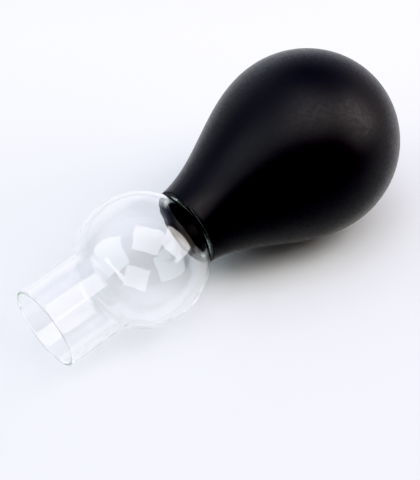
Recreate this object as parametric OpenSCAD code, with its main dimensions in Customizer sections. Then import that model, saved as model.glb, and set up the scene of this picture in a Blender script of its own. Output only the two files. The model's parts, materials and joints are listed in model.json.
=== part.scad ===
// Hand suction aspirator: a blown glass body with a round trap, pushed into
// the neck of a hollow rubber squeeze bulb. It lies on its side at rest, on
// the trap and on the rubber bulb's belly, with the open tube just off the
// table. +Z is up, the table is z = 0, and +X runs from the open mouth
// towards the rubber bulb. Millimetres.
//
// Both pieces are turned shapes on one axis. Their outlines are lists of
// [radius, distance from the open mouth], and lie() lays them down.

/* [Glass body] */
// Outside diameter of the open tube
tube_d = 26; // [22:0.5:30]
// Thickness of the glass in the tube and the neck
glass_wall = 1.2; // [0.8:0.1:1.6]
// Outside diameter of the round trap
trap_d = 40.8; // [38:0.2:46]
// Thickness of the glass in the trap, where blowing has thinned it
trap_wall = 0.7; // [0.5:0.1:1.2]
// Distance from the open mouth to the trap's centre
trap_at = 36; // [34:0.5:44]
// Radius of the curve from the tube into the trap
tube_fillet = 4; // [2:0.5:6]
// Outside diameter of the neck that the rubber grips
neck_d = 20.5; // [17:0.5:21]
// Radius of the curve from the trap into the neck
neck_fillet = 1.5; // [1:0.25:2.5]
// How far the neck reaches past the rubber's lip
neck_reach = 16.5; // [13:0.5:22]

/* [Rubber bulb] */
// Distance from the trap's centre to the rubber's lip
lip_offset = 17.5; // [17.5:0.25:18.5]
// Diameter of the rubber's narrow end, before it begins to swell
collar_d = 24.8; // [24.8:0.2:28]
// Largest diameter of the rubber bulb
bulb_d = 58.4; // [52:0.2:64]
// Distance from the lip to the widest place
swell_length = 48.5; // [44:0.5:56]
// Distance from the widest place to the closed end
end_length = 30; // [26:0.5:34]
// Thickness of the rubber
rubber_wall = 2.2; // [1.8:0.1:3]
// Length of the straight bore that grips the glass
grip_length = 10.5; // [8:0.5:12]
// Radius of the lip's outer edge
lip_round = 0.5; // [0.3:0.1:0.7]
// Radius of the lead-in at the bore's mouth
lead_in = 1.2; // [1:0.1:1.3]

/* [Fit] */
// Gap all round between the glass neck and the rubber's bore
grip_gap = 0.05; // [0.02:0.01:0.1]

/* [Hidden] */
$fn = 96;

// Steps along each curve of an outline
FINE = 36;
COARSE = 8;
// How far before the lip the swelling's cosine curve has its start
SWELL_LEAD = 3.5;
// Steps of halving that find the resting tilt, and the steepest tilt tried
HALVINGS = 24;
MAX_TILT = 20;

tube_r = tube_d / 2;
trap_r = trap_d / 2;
neck_r = neck_d / 2;
lip_at = trap_at + lip_offset;
neck_end = lip_at + neck_reach;
collar_r = collar_d / 2;
bulb_r = bulb_d / 2;
widest_at = lip_at + swell_length;
bore_r = neck_r + grip_gap;
grip_end = lip_at + grip_length;

// Points on an arc about [radius, distance] = centre. An angle of 0 points
// away from the axis, and 90 points towards the rubber bulb.
function arc(centre, r, from, to, steps) =
    [for (i = [0 : steps]) let (a = from + (to - from) * i / steps)
        centre + r * [cos(a), sin(a)]];

// Centre distance and angle of a fillet that ends a tube of radius r on the
// trap. On the inside of the glass, inset is the tube's wall and round_r is
// the trap's inside radius; on the outside they are 0 and trap_r.
function fillet_reach(r, fillet, round_r, inset) =
    sqrt(pow(round_r + fillet + inset, 2) - pow(r + fillet, 2));
function fillet_angle(r, fillet, round_r, inset) =
    atan2(fillet_reach(r, fillet, round_r, inset), r + fillet);

// One surface of the glass from the tube to the neck
function glass_side(round_r, inset) =
    let (
        tube_reach = fillet_reach(tube_r, tube_fillet, round_r, inset),
        neck_reach = fillet_reach(neck_r, neck_fillet, round_r, inset),
        tube_join = fillet_angle(tube_r, tube_fillet, round_r, inset),
        neck_join = fillet_angle(neck_r, neck_fillet, round_r, inset)
    )
    concat(
        arc([tube_r + tube_fillet, trap_at - tube_reach], tube_fillet + inset, 180, 180 - tube_join, COARSE),
        arc([0, trap_at], round_r, -tube_join, neck_join, FINE),
        arc([neck_r + neck_fillet, trap_at + neck_reach], neck_fillet + inset, 180 + neck_join, 180, COARSE)
    );

function reversed(list) = [for (i = [len(list) - 1 : -1 : 0]) list[i]];

// A fire-polished edge is half round, on the middle of the wall
edge_r = glass_wall / 2;
glass_outline = concat(
    arc([tube_r - edge_r, edge_r], edge_r, -180, 0, COARSE),
    glass_side(trap_r, 0),
    arc([neck_r - edge_r, neck_end - edge_r], edge_r, 0, 180, COARSE),
    reversed(glass_side(trap_r - trap_wall, glass_wall))
);

// The rubber swells along half a cosine wave, from collar_r to bulb_r, and
// closes in a quarter of an ellipse
swell_start = lip_at - SWELL_LEAD;
function swell(s) =
    collar_r + (bulb_r - collar_r) * (1 - cos(180 * (s - swell_start) / (widest_at - swell_start))) / 2;

function closed_end(r, length) =
    [for (i = [0 : FINE]) let (a = 90 * i / FINE) [r * cos(a), widest_at + length * sin(a)]];

lip_r = swell(lip_at + lip_round);
bulb_outside = concat(
    arc([lip_r - lip_round, lip_at + lip_round], lip_round, -90, 0, COARSE),
    [for (i = [1 : FINE - 1]) let (s = lip_at + lip_round + (swell_length - lip_round) * i / FINE)
        [swell(s), s]],
    closed_end(bulb_r, end_length)
);

// The hollow opens from the bore along a quarter of a sine wave
function hollow(s) =
    bore_r + (bulb_r - rubber_wall - bore_r) * sin(90 * (s - grip_end) / (widest_at - grip_end));

bulb_inside = concat(
    arc([bore_r + lead_in, lip_at + lead_in], lead_in, -90, -180, COARSE),
    [for (i = [0 : FINE - 1]) let (s = grip_end + (widest_at - grip_end) * i / FINE) [hollow(s), s]],
    closed_end(bulb_r - rubber_wall, end_length - rubber_wall)
);

// Lying down: the tilt at which the trap and the bulb are equally low
function lowest(outline, tilt) = min([for (p = outline) p.y * sin(tilt) - p.x * cos(tilt)]);
function resting_tilt(low, high, steps) =
    let (middle = (low + high) / 2)
    steps == 0 ? middle
    : lowest(bulb_outside, middle) < lowest(glass_outline, middle)
        ? resting_tilt(middle, high, steps - 1)
        : resting_tilt(low, middle, steps - 1);

tilt = resting_tilt(0, MAX_TILT, HALVINGS);
left_x = min([for (p = glass_outline) p.y * cos(tilt) - p.x * sin(tilt)]);
right_x = max([for (p = bulb_outside) p.y * cos(tilt) + p.x * sin(tilt)]);

// Lays a shape turned about Z down on the table, with its mouth towards -X
module lie() {
    translate([-(left_x + right_x) / 2, 0, -lowest(glass_outline, tilt)])
        rotate([0, 90 - tilt, 0])
            children();
}

module glass_body() {
    color([0.86, 0.93, 0.92, 0.35])
        lie()
            rotate_extrude()
                polygon(glass_outline);
}

module rubber_bulb() {
    color([0.06, 0.06, 0.07])
        lie()
            rotate_extrude()
                polygon(concat(bulb_outside, reversed(bulb_inside)));
}

glass_body();
rubber_bulb();
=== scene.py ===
"""Looks for the hand suction aspirator: blown glass body, black rubber squeeze bulb.

Both pieces are turned shapes. Their outlines are lists of (radius, distance from
the open mouth along the axis), in metres, worked out from the same few sizes as
the CAD part's, and LAY carries them from there into the part's frame.
"""
import json
import math

import bpy
import numpy as np
from mathutils import Matrix, Vector, noise


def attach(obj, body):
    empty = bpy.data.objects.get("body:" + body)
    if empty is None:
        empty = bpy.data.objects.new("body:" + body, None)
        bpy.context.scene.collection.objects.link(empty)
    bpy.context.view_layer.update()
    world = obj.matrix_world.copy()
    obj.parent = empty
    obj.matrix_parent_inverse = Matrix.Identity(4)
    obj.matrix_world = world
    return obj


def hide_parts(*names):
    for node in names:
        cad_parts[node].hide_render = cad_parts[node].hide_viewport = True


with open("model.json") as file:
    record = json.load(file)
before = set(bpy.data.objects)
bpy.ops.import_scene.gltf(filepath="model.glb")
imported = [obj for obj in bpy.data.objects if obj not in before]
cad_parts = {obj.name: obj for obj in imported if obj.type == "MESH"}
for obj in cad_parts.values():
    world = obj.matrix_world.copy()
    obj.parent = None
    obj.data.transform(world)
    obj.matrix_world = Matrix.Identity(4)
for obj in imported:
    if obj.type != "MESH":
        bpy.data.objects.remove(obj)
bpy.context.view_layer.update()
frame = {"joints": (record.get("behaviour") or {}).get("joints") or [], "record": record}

MM = 0.001

# ---------------------------------------------------------------- sizes of the glass
TUBE_R = 13.0 * MM
GLASS_WALL = 1.2 * MM
TRAP_R = 20.4 * MM
TRAP_WALL = 0.7 * MM
TRAP_AT = 36.0 * MM
TUBE_FILLET = 4.0 * MM
NECK_R = 10.25 * MM
NECK_FILLET = 1.5 * MM
# Where the mount tube_grip has its middle
TUBE_GRIP_AT = 9.5 * MM

# ---------------------------------------------------------------- sizes of the rubber
LIP_AT = TRAP_AT + 17.5 * MM
COLLAR_R = 12.4 * MM
BULB_R = 29.2 * MM
WIDEST_AT = LIP_AT + 48.5 * MM
END_LENGTH = 30.0 * MM
RUBBER_WALL = 2.2 * MM
LIP_ROUND = 0.5 * MM
LEAD_IN = 1.2 * MM
# The swelling's wave starts a little before the lip
SWELL_START = LIP_AT - 3.5 * MM

# ---------------------------------------------------------------- where the two fit
NECK_END = LIP_AT + 16.5 * MM
GRIP_END = LIP_AT + 10.5 * MM
BORE_R = NECK_R + 0.05 * MM

# ---------------------------------------------------------------- unevenness
# Blowing leaves a ripple: little in the drawn tube, and none where the neck fits
# the rubber. Each pair is a distance from the mouth and the ripple's depth there.
RIPPLE_SIZE = 5.0 * MM
RIPPLE_DEPTHS = (
    (0.0 * MM, 0.03 * MM),
    (14.0 * MM, 0.04 * MM),
    (24.0 * MM, 0.20 * MM),
    (36.0 * MM, 0.20 * MM),
    (46.0 * MM, 0.0 * MM),
)
# A second, finer layer of it: how many times finer, and how strong
FINER = 2.3
FINER_STRENGTH = 0.5

# ---------------------------------------------------------------- mesh steps
GLASS_SEGMENTS = 384
RUBBER_SEGMENTS = 192
EDGE_STEPS = 16
TUBE_STEPS = 20
TUBE_FILLET_STEPS = 24
TRAP_STEPS = 120
NECK_FILLET_STEPS = 16
NECK_STEPS = 12
LIP_STEPS = 8
LEAD_IN_STEPS = 10
SWELL_PLACES = 90
HOLLOW_PLACES = 60
END_STEPS = 60
HOLLOW_END_STEPS = 40
# A point nearer to the axis than this is on it
ON_AXIS = 1e-7

# ---------------------------------------------------------------- the axis
joint = frame["joints"][0]
grip = next(m for m in frame["record"]["mounts"] if m["name"] == "tube_grip")
along = Vector(joint["axis"]).normalized()
across = Vector((0, 1, 0))
upward = along.cross(across)
mouth_point = Vector(grip["pos_m"]) - along * TUBE_GRIP_AT
LAY = Matrix((
    (across.x, upward.x, along.x, mouth_point.x),
    (across.y, upward.y, along.y, mouth_point.y),
    (across.z, upward.z, along.z, mouth_point.z),
    (0, 0, 0, 1),
))


# ---------------------------------------------------------------- outlines
def arc(centre, radius, start, stop, steps):
    """Points on an arc. 0 degrees points away from the axis, 90 towards the rubber."""
    angles = np.radians(np.linspace(start, stop, steps + 1))
    return [(centre[0] + radius * math.cos(a), centre[1] + radius * math.sin(a)) for a in angles]


def line(start, stop, steps):
    """Points between start and stop, without either end."""
    start, stop = np.array(start), np.array(stop)
    return [tuple(start + (stop - start) * i / steps) for i in range(1, steps)]


def fillet(tube_r, fillet_r, round_r, inset):
    """A fillet that ends a tube on the trap: how far its centre is from the axis, its
    radius, how far along the axis its centre is from the trap's, and the angle on the
    trap at which it meets it."""
    centre_r = tube_r + fillet_r
    reach = math.sqrt((round_r + fillet_r + inset) ** 2 - centre_r ** 2)
    return centre_r, fillet_r + inset, reach, math.degrees(math.atan2(reach, centre_r))


def glass_side(round_r, inset):
    """One surface of the glass from the tube to the neck: the outside, or the inside
    with the trap's inside radius and the tube's wall as the inset."""
    tube_c, tube_f, tube_reach, tube_join = fillet(TUBE_R, TUBE_FILLET, round_r, inset)
    neck_c, neck_f, neck_reach, neck_join = fillet(NECK_R, NECK_FILLET, round_r, inset)
    return (
        arc((tube_c, TRAP_AT - tube_reach), tube_f, 180, 180 - tube_join, TUBE_FILLET_STEPS)
        + arc((0, TRAP_AT), round_r, -tube_join, neck_join, TRAP_STEPS)[1:]
        + arc((neck_c, TRAP_AT + neck_reach), neck_f, 180 + neck_join, 180, NECK_FILLET_STEPS)[1:]
    )


def glass_outline():
    """The whole skin of the glass, round and back to the mouth's fire-polished edge."""
    edge = GLASS_WALL / 2
    outside = glass_side(TRAP_R, 0)
    inside = glass_side(TRAP_R - TRAP_WALL, GLASS_WALL)
    mouth_edge = arc((TUBE_R - edge, edge), edge, -180, 0, EDGE_STEPS)
    neck_edge = arc((NECK_R - edge, NECK_END - edge), edge, 0, 180, EDGE_STEPS)
    return (
        mouth_edge
        + line(mouth_edge[-1], outside[0], TUBE_STEPS)
        + outside
        + line(outside[-1], neck_edge[0], NECK_STEPS)
        + neck_edge
        + line(neck_edge[-1], inside[-1], NECK_STEPS)
        + inside[::-1]
        + line(inside[0], mouth_edge[0], TUBE_STEPS)
    )


def swell(s):
    """The rubber's outside radius at s: half a cosine wave."""
    wave = (1 - math.cos(math.pi * (s - SWELL_START) / (WIDEST_AT - SWELL_START))) / 2
    return COLLAR_R + (BULB_R - COLLAR_R) * wave


def hollow(s):
    """The rubber's inside radius at s: a quarter of a sine wave."""
    wave = math.sin(math.pi / 2 * (s - GRIP_END) / (WIDEST_AT - GRIP_END))
    return BORE_R + (BULB_R - RUBBER_WALL - BORE_R) * wave


def closed_end(radius, length, steps):
    """A quarter of an ellipse from the widest place to the axis."""
    angles = np.radians(np.linspace(0, 90, steps + 1))
    return [(radius * math.cos(a), WIDEST_AT + length * math.sin(a)) for a in angles]


def bulb_outline():
    """The whole skin of the rubber, from the closed end's outside to its inside."""
    start = LIP_AT + LIP_ROUND
    outside = (
        arc((swell(start) - LIP_ROUND, start), LIP_ROUND, -90, 0, LIP_STEPS)
        + [(swell(s), s) for s in np.linspace(start, WIDEST_AT, SWELL_PLACES)[1:-1]]
        + closed_end(BULB_R, END_LENGTH, END_STEPS)
    )
    inside = (
        arc((BORE_R + LEAD_IN, LIP_AT + LEAD_IN), LEAD_IN, -90, -180, LEAD_IN_STEPS)
        + [(hollow(s), s) for s in np.linspace(GRIP_END, WIDEST_AT, HOLLOW_PLACES)[:-1]]
        + closed_end(BULB_R - RUBBER_WALL, END_LENGTH - RUBBER_WALL, HOLLOW_END_STEPS)
    )
    return outside[::-1] + inside


# ---------------------------------------------------------------- meshes
def blown_ripple(place):
    """How far blowing leaves the glass below its ideal surface at a place."""
    coarse = noise.noise(place / RIPPLE_SIZE)
    fine = noise.noise(place * FINER / RIPPLE_SIZE)
    highest = 1 + FINER_STRENGTH
    lowness = (highest - coarse - FINER_STRENGTH * fine) / (2 * highest)
    return np.interp(place.z, *zip(*RIPPLE_DEPTHS)) * lowness


def lathe(name, outline, closed, segments, ripple=None):
    """A smooth mesh turned about the axis. A closed outline makes a ring-shaped skin;
    an open one starts and ends on the axis. A ripple lowers the surface."""
    vertices, faces, rings = [], [], []
    for radius, s in outline:
        if radius < ON_AXIS:
            rings.append([len(vertices)])
            vertices.append((0, 0, s))
            continue
        rings.append(list(range(len(vertices), len(vertices) + segments)))
        for k in range(segments):
            a = 2 * math.pi * k / segments
            place = Vector((radius * math.cos(a), radius * math.sin(a), s))
            if ripple:
                place.xy *= 1 - ripple(place) / radius
            vertices.append(place)
    pairs = list(zip(rings, rings[1:]))
    if closed:
        pairs.append((rings[-1], rings[0]))
    for lower, upper in pairs:
        for k in range(segments):
            n = (k + 1) % segments
            if len(lower) == 1:
                faces.append((lower[0], upper[n], upper[k]))
            elif len(upper) == 1:
                faces.append((lower[k], lower[n], upper[0]))
            else:
                faces.append((lower[k], lower[n], upper[n], upper[k]))
    mesh = bpy.data.meshes.new(name)
    mesh.from_pydata(vertices, [], faces)
    mesh.transform(LAY)
    mesh.shade_smooth()
    obj = bpy.data.objects.new(name, mesh)
    bpy.context.scene.collection.objects.link(obj)
    return obj


# ---------------------------------------------------------------- materials
def new_material(name):
    material = bpy.data.materials.new(name)
    material.use_nodes = True
    tree = material.node_tree
    return material, tree, tree.nodes["Principled BSDF"]


def clear_glass():
    """Clear glass with the faint green of a long way through it."""
    material, tree, shader = new_material("clear_glass")
    shader.inputs["Base Color"].default_value = (1, 1, 1, 1)
    shader.inputs["Roughness"].default_value = 0.0
    shader.inputs["IOR"].default_value = 1.47
    shader.inputs["Transmission Weight"].default_value = 1.0
    absorb = tree.nodes.new("ShaderNodeVolumeAbsorption")
    absorb.inputs["Color"].default_value = (0.40, 0.62, 0.42, 1)
    absorb.inputs["Density"].default_value = 3.5
    tree.links.new(absorb.outputs["Volume"], tree.nodes["Material Output"].inputs["Volume"])
    return material


def black_rubber():
    """Satin black rubber with a fine grain, in its gloss and as a slight relief."""
    material, tree, shader = new_material("black_rubber")
    shader.inputs["Base Color"].default_value = (0.009, 0.008, 0.012, 1)
    shader.inputs["Specular IOR Level"].default_value = 0.46
    shader.inputs["Sheen Weight"].default_value = 0.24
    shader.inputs["Sheen Roughness"].default_value = 0.35
    place = tree.nodes.new("ShaderNodeTexCoord")
    grain = tree.nodes.new("ShaderNodeTexNoise")
    grain.inputs["Scale"].default_value = 1100
    grain.inputs["Detail"].default_value = 3
    tree.links.new(place.outputs["Object"], grain.inputs["Vector"])
    gloss = tree.nodes.new("ShaderNodeMapRange")
    gloss.inputs["From Min"].default_value = 0.35
    gloss.inputs["From Max"].default_value = 0.65
    gloss.inputs["To Min"].default_value = 0.40
    gloss.inputs["To Max"].default_value = 0.50
    tree.links.new(grain.outputs["Fac"], gloss.inputs["Value"])
    tree.links.new(gloss.outputs["Result"], shader.inputs["Roughness"])
    relief = tree.nodes.new("ShaderNodeBump")
    relief.inputs["Strength"].default_value = 1.0
    relief.inputs["Distance"].default_value = 0.002 * MM
    tree.links.new(grain.outputs["Fac"], relief.inputs["Height"])
    tree.links.new(relief.outputs["Normal"], shader.inputs["Normal"])
    return material


# ---------------------------------------------------------------- pieces
glass = lathe("glass_body_blown", glass_outline(), True, GLASS_SEGMENTS, blown_ripple)
glass.data.materials.append(clear_glass())
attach(glass, "glass")
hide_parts("glass_body")

bulb = lathe("rubber_bulb_moulded", bulb_outline(), False, RUBBER_SEGMENTS)
bulb.data.materials.append(black_rubber())
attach(bulb, "bulb")
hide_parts("rubber_bulb")


# ---------------------------------------------------------------- the stage
CENTRE = Vector((0, 0, 0.03))
SOFTBOX_DISTANCE = 0.62
CAMERA_TARGET = Vector((-0.01128, -0.01044, 0.025))
CAMERA_AZIMUTH = -40.7
CAMERA_ELEVATION = 43.9
CAMERA_DISTANCE = 0.441
CAMERA_LENS = 128.57
# The floor is a square of twice this size. Its colour pales in one direction, over a strip
# through the middle, from its own grey to a lighter one: painted light, for the floor lit more
# towards the back
FLOOR_HALF = 3.0
FLOOR_PAINTED_LIGHT_TOWARDS = 139.3
PAINTED_LIGHT_STRIP_HALF = 0.12
FLOOR_COLOURS_WITH_PAINTED_LIGHT = (
    (0.0, (0.575, 0.575, 0.585)),
    (0.45, (0.585, 0.596, 0.605)),
    (1.0, (0.74, 0.745, 0.745)),
)
# The room's glows: azimuth, elevation, degrees of full light, degrees to dark, colour
GLOWS = (
    (82, 0, 12, 38, (1.2, 1.12, 1.15)),
    (125, -2, 5, 32, (1.0, 1.0, 1.1)),
    (172, 0, 10, 40, (1.56, 1.60, 1.73)),
    (139, 42, 10, 60, (0.36, 0.40, 0.54)),
    (80, 52, 10, 40, (0.4, 0.4, 0.5)),
    (-140, 60, 10, 50, (1.1, 1.15, 1.35)),
    (-41, 20, 30, 120, (0.10, 0.05, 0.06)),
)
# Light crosses many surfaces before it leaves the glass
GLASS_BOUNCES = 200
DIFFUSE_BOUNCES = 8
# The radiance at the tone curve's end, and how bright the picture shows each radiance
CURVE_END = 2
TONES = (
    (0.055, 0.0), (0.08, 0.007), (0.1, 0.015), (0.12, 0.024), (0.14, 0.038), (0.165, 0.062),
    (0.2, 0.098), (0.3, 0.20), (0.45, 0.37), (0.6, 0.53), (0.8, 0.69), (0.9, 0.765),
    (1.0, 0.84), (1.1, 0.90), (1.2, 0.945), (1.3, 0.975), (1.5, 0.996),
)
# Light tones are a little bluer: how bright blue is after those tones, and how it is shown
BLUE_TONES = ((0.5, 0.497), (0.56, 0.572), (0.60, 0.64), (0.64, 0.70), (0.75, 0.83))
# Where the view's curves keep blue, and red, green and blue together
BLUE_CURVE = 2
ALL_COLOURS_CURVE = 3


def direction(azimuth, elevation):
    """A unit vector from the object; azimuth 0 is -Y and 90 is +X."""
    a, e = math.radians(azimuth), math.radians(elevation)
    return Vector((math.sin(a) * math.cos(e), -math.cos(a) * math.cos(e), math.sin(e)))


def aim(obj, place, target):
    obj.location = place
    obj.rotation_euler = (target - place).to_track_quat("-Z", "Y").to_euler()


def ramp_node(tree, stops):
    """A colour ramp with the given (position, colour) stops."""
    node = tree.nodes.new("ShaderNodeValToRGB")
    elements = node.color_ramp.elements
    while len(elements) < len(stops):
        elements.new(0.5)
    for element, (position, colour) in zip(elements, stops):
        element.position = position
        element.color = (*colour, 1)
    return node


def floor_with_painted_light():
    mesh = bpy.data.meshes.new("floor")
    corners = [(x * FLOOR_HALF, y * FLOOR_HALF, 0) for x, y in ((-1, -1), (1, -1), (1, 1), (-1, 1))]
    mesh.from_pydata(corners, [], [(0, 1, 2, 3)])
    floor = bpy.data.objects.new("floor", mesh)
    bpy.context.scene.collection.objects.link(floor)
    material, tree, shader = new_material("floor_with_painted_light")
    # Painted light: the floor's colour grows from its own grey to a lighter one towards one side,
    # standing in for more light falling there
    place = tree.nodes.new("ShaderNodeTexCoord")
    away = tree.nodes.new("ShaderNodeVectorMath")
    away.operation = "DOT_PRODUCT"
    away.inputs[1].default_value = direction(FLOOR_PAINTED_LIGHT_TOWARDS, 0)
    tree.links.new(place.outputs["Object"], away.inputs[0])
    painted_light_spread = tree.nodes.new("ShaderNodeMapRange")
    painted_light_spread.inputs["From Min"].default_value = -PAINTED_LIGHT_STRIP_HALF
    painted_light_spread.inputs["From Max"].default_value = PAINTED_LIGHT_STRIP_HALF
    tree.links.new(away.outputs["Value"], painted_light_spread.inputs["Value"])
    ramp = ramp_node(tree, FLOOR_COLOURS_WITH_PAINTED_LIGHT)
    tree.links.new(painted_light_spread.outputs["Result"], ramp.inputs[0])
    tree.links.new(ramp.outputs["Color"], shader.inputs["Base Color"])
    shader.inputs["Roughness"].default_value = 0.6
    shader.inputs["Specular IOR Level"].default_value = 0.2
    floor.data.materials.append(material)


def softbox(name, azimuth, elevation, width, height, turn, radiance, colour):
    """A rectangular light aimed at the object. Its face is as bright as radiance, where
    1 is white."""
    light = bpy.data.lights.new(name, "AREA")
    light.shape = "RECTANGLE"
    light.size = width
    light.size_y = height
    light.energy = radiance * math.pi * width * height
    light.color = colour
    obj = bpy.data.objects.new(name, light)
    bpy.context.scene.collection.objects.link(obj)
    aim(obj, CENTRE + direction(azimuth, elevation) * SOFTBOX_DISTANCE, CENTRE)
    obj.rotation_euler.rotate_axis("Z", math.radians(turn))


def add_camera():
    data = bpy.data.cameras.new("camera")
    data.lens = CAMERA_LENS
    data.sensor_fit = "HORIZONTAL"
    data.sensor_width = 36.0
    data.clip_start = 0.01
    data.clip_end = 20
    camera = bpy.data.objects.new("camera", data)
    bpy.context.scene.collection.objects.link(camera)
    away = direction(CAMERA_AZIMUTH, CAMERA_ELEVATION) * CAMERA_DISTANCE
    aim(camera, CAMERA_TARGET + away, CAMERA_TARGET)
    bpy.context.scene.camera = camera


def dark_room():
    """A dark room with a few soft, wide glows: each is brightest at its direction and
    fades out at its reach in degrees."""
    world = bpy.data.worlds.new("dark_room")
    world.use_nodes = True
    tree = world.node_tree
    place = tree.nodes.new("ShaderNodeTexCoord")
    total = None
    for azimuth, elevation, full, reach, colour in GLOWS:
        nearness = tree.nodes.new("ShaderNodeVectorMath")
        nearness.operation = "DOT_PRODUCT"
        nearness.inputs[1].default_value = direction(azimuth, elevation)
        tree.links.new(place.outputs["Generated"], nearness.inputs[0])
        fade = tree.nodes.new("ShaderNodeMapRange")
        fade.interpolation_type = "SMOOTHSTEP"
        fade.inputs["From Min"].default_value = math.cos(math.radians(reach))
        fade.inputs["From Max"].default_value = math.cos(math.radians(full))
        tree.links.new(nearness.outputs["Value"], fade.inputs["Value"])
        glow = tree.nodes.new("ShaderNodeVectorMath")
        glow.operation = "SCALE"
        glow.inputs[0].default_value = colour
        tree.links.new(fade.outputs["Result"], glow.inputs["Scale"])
        if total:
            add = tree.nodes.new("ShaderNodeVectorMath")
            tree.links.new(total, add.inputs[0])
            tree.links.new(glow.outputs["Vector"], add.inputs[1])
            glow = add
        total = glow.outputs["Vector"]
    tree.links.new(total, tree.nodes["Background"].inputs["Color"])
    bpy.context.scene.world = world


def light_paths():
    cycles = bpy.context.scene.cycles
    cycles.max_bounces = GLASS_BOUNCES
    cycles.glossy_bounces = GLASS_BOUNCES
    cycles.transmission_bounces = GLASS_BOUNCES
    cycles.diffuse_bounces = DIFFUSE_BOUNCES
    cycles.blur_glossy = 0.0


def tone_curve():
    """A contrasty picture style: deep blacks and a soft shoulder under white."""
    view = bpy.context.scene.view_settings
    view.view_transform = "Standard"
    view.use_curve_mapping = True
    mapping = view.curve_mapping
    mapping.white_level = (CURVE_END, CURVE_END, CURVE_END)
    for radiance, shown in TONES:
        mapping.curves[ALL_COLOURS_CURVE].points.new(radiance / CURVE_END, shown)
    for plain, shown in BLUE_TONES:
        mapping.curves[BLUE_CURVE].points.new(plain, shown)
    mapping.update()


floor_with_painted_light()
dark_room()
softbox("softbox_left", -104, 29, 0.58, 0.58, -20, 3.35, (0.85, 0.955, 1.0))
softbox("softbox_top", -2, 74, 0.52, 0.46, -50, 4.0, (1.0, 0.975, 1.0))
softbox("softbox_right", 49, 32, 0.43, 0.50, -15, 4.7, (1.0, 0.965, 0.985))
light_paths()
add_camera()
tone_curve()
